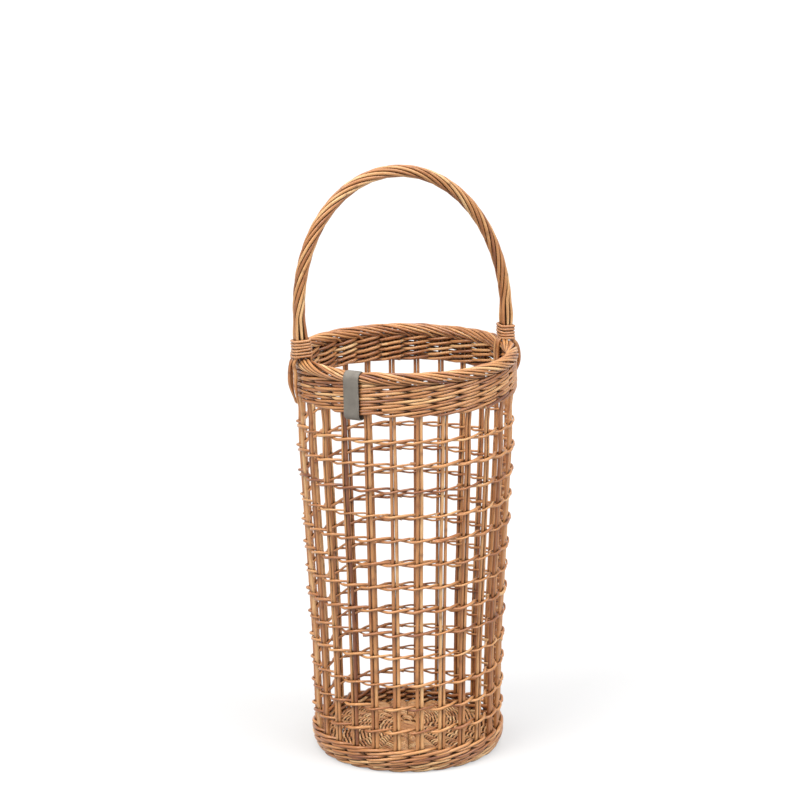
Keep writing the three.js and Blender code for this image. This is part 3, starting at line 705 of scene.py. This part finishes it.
# By strands: climb in thicknesses, its share behind the stakes, and the spread of the tones
WEAVES = {2: (0.5, 1.0, 0.12), 3: (0.75, 0.45, 0.18)}


def row_waves(strands, reach, climb, inside=1.0):
    """How far out from the wall a strand lies, and how high, against its place counted in stakes.
    Inside is the share of the climb that is left behind the stakes."""
    corners = (-PASS, PASS, 1 - PASS, strands - 1 + PASS)
    dip = inside * climb
    out = wave(strands, list(zip(corners, (-reach, -reach, reach, reach))), WAVE_BLUR)
    rise = wave(strands, list(zip(corners, (dip, -dip, -climb, climb))), WAVE_BLUR)
    return out, rise


def weave_row(piece, strands, middle_at, radius, tips, loose, floor=None, tails=None):
    """Lays the strands of one row round the wall, at the height that middle_at gives for an azimuth.
    Tips are the shares of the radius at a weaver's two ends, and loose is the share of stray ones.
    With a floor, a row lies no lower than it, and inside the wall no lower than the uprights' tails."""
    climb_share, inside_share, tone_spread = WEAVES[strands]
    middle = float(np.mean(middle_at(np.linspace(0, 2 * math.pi, 8))))
    reach = rod_radius(middle) + radius + PRESS_GAP
    out, rise = row_waves(strands, reach, 2 * radius * climb_share, inside_share)
    for strand in range(strands):
        breaks = chance.choice(np.arange(JOIN_MARGIN, PAIRS - JOIN_MARGIN), WEAVERS - 1, replace=False)
        breaks = np.sort(breaks)
        for start, end in zip([0, *breaks], [*breaks, PAIRS]):
            u = np.arange(start - OVERLAP[0], end + OVERLAP[1], WEAVER_STEP)
            azimuth = FIRST_PAIR + (u + BACK_PAIR) * PITCH
            share = (u - u[0]) / (u[-1] - u[0])
            taper = radius * (tips[0] + (tips[1] - tips[0]) * share) * chance.uniform(0.88, 1.04)
            sway = wobble(len(u), 0.4 * radius, 0.08)
            height = middle_at(azimuth) + rise(u - strand) + sway
            from_wall = out(u - strand)
            if floor is not None:
                height = np.maximum(height, floor + taper)
                inside = np.clip(-from_wall / reach, 0, 1)
                height = np.maximum(height, (tails + taper) * inside)
            for from_end in (u - u[0], u[-1] - u):
                push = STRAY if chance.uniform() < loose else TUCK
                from_wall = from_wall + push * np.clip(1 - from_end / TUCK_SPAN, 0, 1)
            tone = chance.normal(0.5, tone_spread)
            path = place(wall_radius(height) + from_wall, azimuth, height)
            add_rod(piece, path, taper, tone, knots=False)


print("a row has", 2 * WEAVERS, "weavers, a waled round", 3 * WEAVERS)

# %% [markdown]
# The thirteen open rows are fitching: two weavers that change sides at each pair and cross once in
# every gap, which locks them at their height. All rows could be one, lifted by even steps. But in the
# photo the rows half way up lie a few millimetres lower than that, and no row is quite level. So each
# takes its height from its own solid, sags by its place in the middle and drifts a little.

# %% Open rows
ROWS = 13
ROW_SAG = 3.2 * MM
SAG_ROW = 7.5
SAG_SPREAD = 2.6
level_low, level_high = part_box("fitching_row_01")
level_height = level_high.z - level_low.z
for row in range(ROWS):
    low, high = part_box(f"fitching_row_{row + 1:02d}")
    middle = (low.z + high.z) / 2 - ROW_SAG * math.exp(-(((row - SAG_ROW) / SAG_SPREAD) ** 2))
    tilt = (high.z - low.z - level_height) / 2
    drift, drift_at = chance.uniform(0.3, 1.0) * MM, chance.uniform(0, 2 * math.pi)
    twined = Piece()
    weave_row(twined, 2, lambda a: middle + tilt * np.cos(a) + drift * np.sin(a + drift_at),
              chance.uniform(1.55, 1.85) * MM, (1.2, 0.7), loose=0.2)
    twined.finish(f"twined_row_{row + 1:02d}", f"fitching_row_{row + 1:02d}", willow)
print("open rows:", ROWS, "and the last at", round(middle / MM, 1), "mm")

# %% [markdown]
# The band under the border is waled: three weavers, each in front of two pairs and behind one, packed
# down hard. Waling is stiff and holds the uprights where they turn. The same function makes it, with
# three strands in place of two. The real weavers are thinner than those of the solids, and there are
# five rounds of them, so one solid stands for two rounds and gets both here. They're a little thicker
# than their share of the height, because packed willow presses flat against itself. At the back the
# band's lower edge lies a centimetre higher than at the front, as the photo shows inside the rim.

# %% Waled band
WALE_RADIUS = 2.15 * MM
BAND_LIFT = 11 * MM
BAND_ROUNDS = 5


def waled_rows(nodes, low_at, high_at, rounds, radius, tips, **options):
    """Waling in even rounds from one height to another, shared out over the nodes."""
    for index, (name, node) in enumerate(nodes):
        waled = Piece()
        for turn in range(rounds):
            if turn * len(nodes) // rounds == index:
                share = (turn + 0.5) / rounds
                weave_row(waled, 3, lambda a: low_at(a) + (high_at(a) - low_at(a)) * share, radius, tips,
                          **options)
        waled.finish(name, node, willow)


band_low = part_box("band_row_1")[0].z
band_high = BORDER_HEIGHT - BORDER_STRAND - 0.4 * MM
waled_rows([(f"waled_band_{i}", f"band_row_{i}") for i in range(1, 5)],
           lambda a: band_low + BAND_LIFT * (1 - np.cos(a)) / 2, lambda a: band_high + rim_lift(a),
           BAND_ROUNDS, WALE_RADIUS, (1.08, 0.86), loose=0.1)
print("band:", BAND_ROUNDS, "rounds up to", round(band_high / MM, 1), "mm")

# %% [markdown]
# The foot is waled too, in four rounds on two nodes. It hides the turn of the uprights and is what the
# stand rests on, so its lowest round is pressed flat on the floor. A boolean cut could flatten it, but
# it would leave a sawn face. Here the weaver is lifted wherever it would go through the floor, and
# inside the wall it lies over the tails of the uprights.

# %% Foot
FOOT_ROUNDS = 4
TAILS_TOP = 7.3 * MM
foot_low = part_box("foot_row_lower")[0].z
foot_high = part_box("foot_row_upper")[1].z
waled_rows([(f"waled_foot_{i}", f"foot_row_{i}") for i in ("lower", "upper")],
           lambda a: foot_low + 0 * a, lambda a: foot_high + 0 * a,
           FOOT_ROUNDS, WALE_RADIUS, (1.05, 0.94), loose=0.0, floor=foot_low, tails=TAILS_TOP)
print("foot:", FOOT_ROUNDS, "rounds up to", round(foot_high / MM, 1), "mm")

# %% [markdown]
# The base starts as a slath: seven sticks pushed through slits in six others, bound where they cross
# and fanned out like the spokes of a wheel. A fan of straight rods would cut through itself in the
# middle. Real sticks lie side by side there, seven over six, and only then bend out, so each stick
# here is one path from rim to rim that does the same.

# %% Base sticks
STICK_RADIUS = 2.2 * MM
STICK_SPACING = 1.9 * STICK_RADIUS
STICK_LAYER = 0.9 * STICK_RADIUS
STICK_DIP = 0.6 * STICK_RADIUS
STRAIGHT_REACH = (10 * MM, 17 * MM)
FAN_START = 34 * MM


def stick_half(crossing, lead, lift, azimuth):
    """Half a stick: straight through the crossing, then bent out to its place in the fan."""
    inner, outer = (crossing + reach * lead for reach in STRAIGHT_REACH)
    radii = np.linspace(FAN_START, STICK_REACH, 4)
    fan = [place(radius, azimuth, base_height(radius)) for radius in radii]
    return [inner, outer - lift * STICK_DIP * UP, *fan]


base_sticks = Piece()
for first_end, count, lift in ((0, 7, 1), (7, 6, -1)):
    middle_azimuth = pair_azimuth(first_end + (count - 1) / 2)
    lead = place(1.0, middle_azimuth, 0.0)
    beside = place(1.0, middle_azimuth + math.pi / 2, 0.0)
    for index in range(count):
        offset = (index - (count - 1) / 2) * STICK_SPACING
        crossing = beside * offset + (base_height(0) + lift * STICK_LAYER) * UP
        far_end = first_end + PAIRS // 2 + (count - 1 - index)
        near_half = stick_half(crossing, lead, lift, pair_azimuth(first_end + index))
        far_half = stick_half(crossing, -lead, lift, pair_azimuth(far_end))
        add_rod(base_sticks, through([*near_half[::-1], *far_half], 4 * MM), STICK_RADIUS)
base_sticks.finish("base_sticks", "base_slath", willow)
print("base:", len(base_sticks.faces), "faces of sticks")

# %% [markdown]
# Two thin weavers pair round the sticks from the middle to the edge: at each stick one goes over and
# the other under, and at the next stick they change. There are 26 ends, an even number, so each weaver
# comes over the same sticks in every round, and its humps make the ribbed wedges in the photo. A disc
# with a bump would be cheaper, but only real strands show the light between them. Near the middle the
# sticks are too close, and the weavers take them two by two.

# %% Base weaving
BASE_WEAVER = 1.6 * MM
BASE_ROUND = 4.9 * MM
BASE_HUMP = 0.9 * MM
BASE_CLIMB = 0.42 * BASE_ROUND
BASE_STEPS = 9
# From which radius to which, and past how many ends or pairs of ends in a round
BASE_ZONES = ((20 * MM, 36 * MM, PAIRS // 2), (37 * MM, 106.5 * MM, PAIRS))
base_weaving = Piece()
out, rise = row_waves(2, STICK_RADIUS + BASE_WEAVER + BASE_HUMP, BASE_CLIMB)
for start, end, groups in BASE_ZONES:
    first = FIRST_PAIR + (0.5 * PITCH if groups < PAIRS else 0)
    for strand in (0, 1):
        for index in range(round((end - start) / BASE_ROUND)):
            u = np.linspace(index * groups, (index + 1) * groups, groups * BASE_STEPS + 1)
            radius = start + BASE_ROUND * u / groups + rise(u - strand)
            azimuth = first + u / groups * 2 * math.pi
            height = base_height(radius) + out(u - strand) + wobble(len(u), 0.25 * MM, 0.1)
            thickness = BASE_WEAVER * chance.uniform(0.88, 1.1)
            # Painted light: the base weavers get a paler tone than the other rods, which brightens the
            # shaded floor of the stand
            tone = chance.normal(0.66, 0.12)
            add_rod(base_weaving, place(radius, azimuth, height), thickness, tone, knots=False, sides=6)
base_weaving.finish("base_weaving", "base_weave", willow)
print("base:", len(base_weaving.faces), "faces of weaving")

# %% [markdown]
# The handle is roped: eight thin rods twist round a core rod, over the bow and down to the border. The
# bow is half an ellipse that was pulled a little to the left. It could be bent out of a straight rope
# with a Curve modifier, but that would stretch the rods on the outside of the bend. Here each rod
# winds round stations on the bow. They lie at even lengths, not at even angles, or the rods would be
# steeper at the top than at the sides.

# %% Shape of the bow
HANDLE_AZIMUTH = FIRST_PAIR + 7.5 * PITCH
ALONG = place(1.0, HANDLE_AZIMUTH, 0.0)
ACROSS = place(1.0, HANDLE_AZIMUTH + math.pi / 2, 0.0)
BOW_HALF_WIDTH = 138 * MM
BOW_SPRING = 558.8 * MM
BOW_TOP = 744.8 * MM
BOW_RISE = BOW_TOP - BOW_SPRING
BOW_LEAN = 11 * MM
BOW_FULLNESS = 2.6 * MM
BOW_STEPS = 90
TWIST_START = 572.6 * MM


def bow_side(angle):
    """Half an ellipse that leans to the left and is a little fuller at its shoulders."""
    return -BOW_HALF_WIDTH * np.cos(angle) - BOW_LEAN * np.sin(angle) - BOW_FULLNESS * np.sin(2 * angle)


def bow_stations(count):
    """Centres and directions along the bow, by even lengths."""
    start = math.asin((TWIST_START - BOW_SPRING) / BOW_RISE)
    angle = np.linspace(start, math.pi - start, 2000)
    length = lengths_along(np.stack([bow_side(angle), BOW_RISE * np.sin(angle)], 1))
    angle = np.interp(np.linspace(0, length[-1], count), length, angle)
    side, height = bow_side(angle), BOW_SPRING + BOW_RISE * np.sin(angle)
    run, climb = np.gradient(side, angle), BOW_RISE * np.cos(angle)
    size = np.hypot(run, climb)
    centre = side[:, None] * ALONG + height[:, None] * UP
    outward = -(climb / size)[:, None] * ALONG + (run / size)[:, None] * UP
    return centre, outward


centres, outwards = bow_stations(BOW_STEPS)
print("bow:", round(lengths_along(centres)[-1] / MM), "mm of twist")

# %% [markdown]
# At each foot of the handle three rods run down outside the band, and three go over the border and
# down inside it. The two between them stop above the border. The rods could end at the border, where
# the lashing hides them, but the photo shows them splay, bulge over the rim and go down into the band.
# So each rod gets a few places on its way, by radius and height. Of the outer three the middle one
# lies furthest out, and the left foot is bound tighter than the right one.

# %% Feet of the bow
BOW_OFFSET = 5.8 * MM
SPLAY_LOW = 524.1 * MM
SPLAY_TOP = 550.6 * MM
LEFT, RIGHT = -1, 1
ROD_SPACING = {LEFT: 4.9 * MM, RIGHT: 4.4 * MM}
FOOT_SPLAY = {LEFT: 7 * MM, RIGHT: 4.6 * MM}
FOOT_INSET = {LEFT: 2 * MM, RIGHT: 0.8 * MM}
FOOT_CLOSER = {LEFT: 1.5 * MM, RIGHT: -1.5 * MM}
ROD_CLOSER = {-1: 4 * MM, 0: 0, 1: 6 * MM}
OUTER_LEG = np.array([(141, 463), (147, 476), (151.5, 489), (151.5, 503), (149, 514)]) * MM
CLOSER_SHARE = np.array([0, 1 / 2, 1, 1, 1 / 3])
INNER_LEG = np.array([(122.6, 468), (122.6, 498), (123, 511), (126, 520)]) * MM
MIDDLE_LEG = 523 * MM


def leg_path(side, slot):
    """The straight end of one bow rod, from beside the band up to the splay. Slot is its angle."""
    facing, aside = round(math.cos(slot)), round(math.sin(slot))
    middle = BOW_HALF_WIDTH - FOOT_INSET[side]
    across = -ROD_SPACING[side] * aside
    if facing == 0:
        across = -BOW_OFFSET * aside
        route = [(middle, MIDDLE_LEG)]
    elif facing > 0:
        closer = (ROD_CLOSER[aside] + FOOT_CLOSER[side]) * CLOSER_SHARE
        route = [*zip(OUTER_LEG[:, 0] - closer, OUTER_LEG[:, 1]), (middle + FOOT_SPLAY[side], SPLAY_LOW)]
    else:
        route = [*INNER_LEG, (middle - FOOT_SPLAY[side], SPLAY_LOW + 1 * MM)]
    route.append((BOW_HALF_WIDTH + facing * BOW_OFFSET, SPLAY_TOP))
    return [side * radius * ALONG + across * ACROSS + height * UP for radius, height in route]


print("left foot:", len(leg_path(LEFT, 0)), "places on an outer rod")

# %% [markdown]
# Now the eight rods and their core can be laid. In the photo the rods make three turns from foot to
# foot, so each one ends in the slot it started from, and both feet are alike. The twist could be a
# Screw modifier on a straight rope, but here it only takes an angle that grows along the stations.

# %% Roped handle
BOW_RODS = 8
BOW_TURNS = 3
BOW_ROD = 2.1 * MM
FADE_POINTS = 9
FINE_END = 0.55
CORE_RADIUS = 3.2 * MM
CORE_INSET = 2 * MM

for index in range(BOW_RODS):
    slot = index * 2 * math.pi / BOW_RODS
    phase = slot + np.linspace(0, BOW_TURNS * 2 * math.pi, BOW_STEPS)
    bow = centres + BOW_OFFSET * (np.cos(phase)[:, None] * outwards - np.sin(phase)[:, None] * ACROSS)
    path = through([*leg_path(LEFT, slot), *bow, *leg_path(RIGHT, phase[-1])[::-1]], 4 * MM)
    steps = np.arange(len(path))
    ends = np.clip(np.minimum(steps, steps[::-1]) / FADE_POINTS, 0, 1)
    thickness = BOW_ROD * chance.uniform(0.95, 1.04) * (FINE_END + (1 - FINE_END) * ends)
    roped = Piece()
    add_rod(roped, path, thickness, tone=chance.normal(0.56, 0.16))
    roped.finish(f"bow_rod_{index + 1}", f"handle_rod_{index + 1}", willow)

core = Piece()
core_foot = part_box("handle_core")[0].z + 1 * MM
core_ends = [side * (BOW_HALF_WIDTH - CORE_INSET) * ALONG + core_foot * UP for side in (LEFT, RIGHT)]
add_rod(core, through([core_ends[0], *centres[::6], core_ends[1]], 6 * MM), CORE_RADIUS)
core.finish("bow_core", "handle_core", willow)
print("bow:", BOW_RODS, "rods,", BOW_TURNS, "turns")

# %% [markdown]
# Just above the border a thin split rod is wound round all the rods of each foot, six turns on the
# left and five on the right, and its ends are tucked in between the rods. A stack of rings would look
# the same from afar, but a lashing climbs, and it shows where it starts and ends. So its path is a
# rounded rectangle that climbs by a little more than its own thickness in each turn.

# %% Lashings
LASH_RADIUS = 1.8 * MM
LASH_PITCH = 3.8 * MM
LASH_GAP = 0.2 * MM
LASH_TUCK = 2.6 * MM
TUCK_ANGLE = 0.5
SQUARENESS = 3
# Side, turns and the height of the first turn
LASHINGS = {"left": (LEFT, 6, 521.8 * MM), "right": (RIGHT, 5, 520.8 * MM)}
for name, (side, turns, start) in LASHINGS.items():
    angle = np.arange(0, turns * 2 * math.pi, math.pi / 18)
    height = start + LASH_PITCH * angle / (2 * math.pi)
    share = np.clip((height - SPLAY_LOW) / (SPLAY_TOP - SPLAY_LOW), 0, 1)
    middle = BOW_HALF_WIDTH - FOOT_INSET[side] * (1 - share)
    half = FOOT_SPLAY[side] + (BOW_OFFSET - FOOT_SPLAY[side]) * share
    tucked = sum(np.clip(1 - from_end / TUCK_ANGLE, 0, 1) for from_end in (angle, angle[-1] - angle))
    margin = BOW_ROD + LASH_RADIUS + LASH_GAP - LASH_TUCK * tucked + wobble(len(angle), 0.2 * MM, 0.2)
    corner = np.stack([np.sin(angle), np.cos(angle)], 1)
    square = np.tanh(SQUARENESS * corner) / np.tanh(SQUARENESS)
    out = middle + square[:, 0] * half + margin * corner[:, 0]
    across = square[:, 1] * ROD_SPACING[side] + margin * corner[:, 1]
    height = height + wobble(len(angle), 0.3 * MM, 0.2)
    wound = side * out[:, None] * ALONG + across[:, None] * ACROSS + height[:, None] * UP
    wrap = Piece()
    add_rod(wrap, through(wound, 2 * MM), LASH_RADIUS, tone=0.5, knots=False)
    wrap.finish(f"wound_lashing_{name}", f"lashing_{name}", split_willow)
    print(name, "lashing:", turns, "turns from", round(start / MM, 1), "mm")

# %% [markdown]
# The strap is plain grey leather. Its colour is even, with faint patches and fine pores that catch
# the light. A leather picture would bring its own scale and seams. Noise read at `grain` has neither,
# and its depth goes into a bump, because pores are far too small for the mesh.

# %% Leather
PORE_SCALE = (1600, 1600, 1600)
PATCH_SCALE = (60, 60, 60)


def leather_material():
    nodes = Nodes("grey_leather")
    grain = nodes.attribute("grain", "Vector")
    pores = nodes.noise(grain, PORE_SCALE, 4.0, 0.6)
    patches = nodes.noise(grain, PATCH_SCALE, 2.0)
    colour = nodes.ramp(patches, [(0.3, srgb(118, 112, 104)), (0.7, srgb(136, 130, 121))])
    pore_shade = nodes.ramp(pores, [(0.35, grey(0.86)), (0.6, grey(1.02))])
    nodes.feed(nodes.surface["Base Color"], nodes.mix("MULTIPLY", 1.0, colour, pore_shade))
    nodes.surface["Roughness"].default_value = 0.62
    nodes.surface["Specular IOR Level"].default_value = 0.35
    nodes.bump(pores, 0.5, 0.2 * MM)
    return nodes.material


leather = leather_material()
print("leather nodes:", len(leather.node_tree.nodes))

# %% [markdown]
# The strap is a strip about 20 mm wide, closed round the border and the band. It could be a flat sheet
# with Solidify, but leather has soft edges and lies a little fuller in its middle, so its section is
# drawn as a rounded bar and swept round a loop. The loop is half a circle over the border, then
# straight down inside the wall, round two corners and up outside. Three loops are drawn as one line,
# and the middle one is kept, so that its two ends meet without a kink.

# %% Loop of the strap
STRAP_THICKNESS = 1.7 * MM
STRAP_REACH = 8.5 * MM
STRAP_DROP = 1 * MM
STRAP_SAG = 4 * MM
STRAP_CORNER = 5 * MM
STRAP_INSIDE = BORDER_RADIUS - STRAP_REACH
STRAP_OUTSIDE = 139.5 * MM
STRAP_BULGE = 0.9 * MM

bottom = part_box("leather_strap")[0].z + STRAP_THICKNESS / 2 - STRAP_SAG
strap_loop = [(BORDER_RADIUS + STRAP_REACH * math.cos(angle),
               BORDER_HEIGHT - STRAP_DROP + STRAP_REACH * math.sin(angle))
              for angle in np.linspace(0, math.pi, 9)]
strap_loop += [(STRAP_INSIDE, BORDER_HEIGHT - 25 * MM),
               (STRAP_INSIDE, bottom + STRAP_CORNER),
               (STRAP_INSIDE + STRAP_CORNER, bottom),
               (STRAP_OUTSIDE - STRAP_CORNER, bottom),
               (STRAP_OUTSIDE, bottom + 4 * MM),
               (STRAP_OUTSIDE + STRAP_BULGE, bottom + 22 * MM)]
wrapped = np.array([(radius, 0, height) for radius, height in strap_loop * 3])
line = through(wrapped, 2 * MM)
starts = np.flatnonzero(np.linalg.norm(line - wrapped[0], axis=1) < 0.01 * MM)
strap_line = line[starts[1]:starts[2] + 1]
print("strap:", round(lengths_along(strap_line)[-1] / MM), "mm long,", len(strap_line) - 1, "stations")

# %% [markdown]
# The sweep works like a rod's, but its section is wide and flat, and it must not turn: on the real
# strap the smooth side always faces out. So the direction out is taken from the loop itself, at right
# angles to its run, and no direction has to be carried along.

# %% Leather strap
STRAP_HALF_WIDTH = 10.4 * MM
STRAP_EDGE = 0.1
STRAP_EDGE_LEAST = 0.12
strap_section = []
for face in (1, -1):
    for w in np.linspace(-1, 1, 9) * face:
        edge = 1 - max(0, abs(w) - (1 - STRAP_EDGE)) / STRAP_EDGE
        fullness = math.sqrt(max(edge, STRAP_EDGE_LEAST))
        strap_section.append((w * STRAP_HALF_WIDTH, face * STRAP_THICKNESS / 2 * fullness))

strap_out = place(1.0, STRAP_AZIMUTH, 0.0)
strap_side = place(1.0, STRAP_AZIMUTH + math.pi / 2, 0.0)
stations = strap_line[:-1]
tangent = np.roll(stations, -1, axis=0) - np.roll(stations, 1, axis=0)
tangent /= np.linalg.norm(tangent, axis=1)[:, None]
rings, grains = [], []
for centre, way, length in zip(stations, tangent, lengths_along(strap_line)):
    middle = centre[0] * strap_out + centre[2] * UP
    outward = way[2] * strap_out - way[0] * UP
    rings.append([middle + w * strap_side + t * outward for w, t in strap_section])
    grains.append([(length, w, t) for w, t in strap_section])
strap = Piece()
strap_faces = tube_faces(len(rings), len(strap_section), closed=True)
strap.add(np.concatenate(rings), strap_faces, True, np.concatenate(grains), 0.5,
          np.zeros(len(rings) * len(strap_section)), 0.0)
strap.finish("leather_loop", "leather_strap", leather)
print("strap:", len(strap_faces), "faces")

# %% [markdown]
# The dressed stand has to stay inside the box of the plain solids, apart from the little that a
# rounder or rougher surface adds.
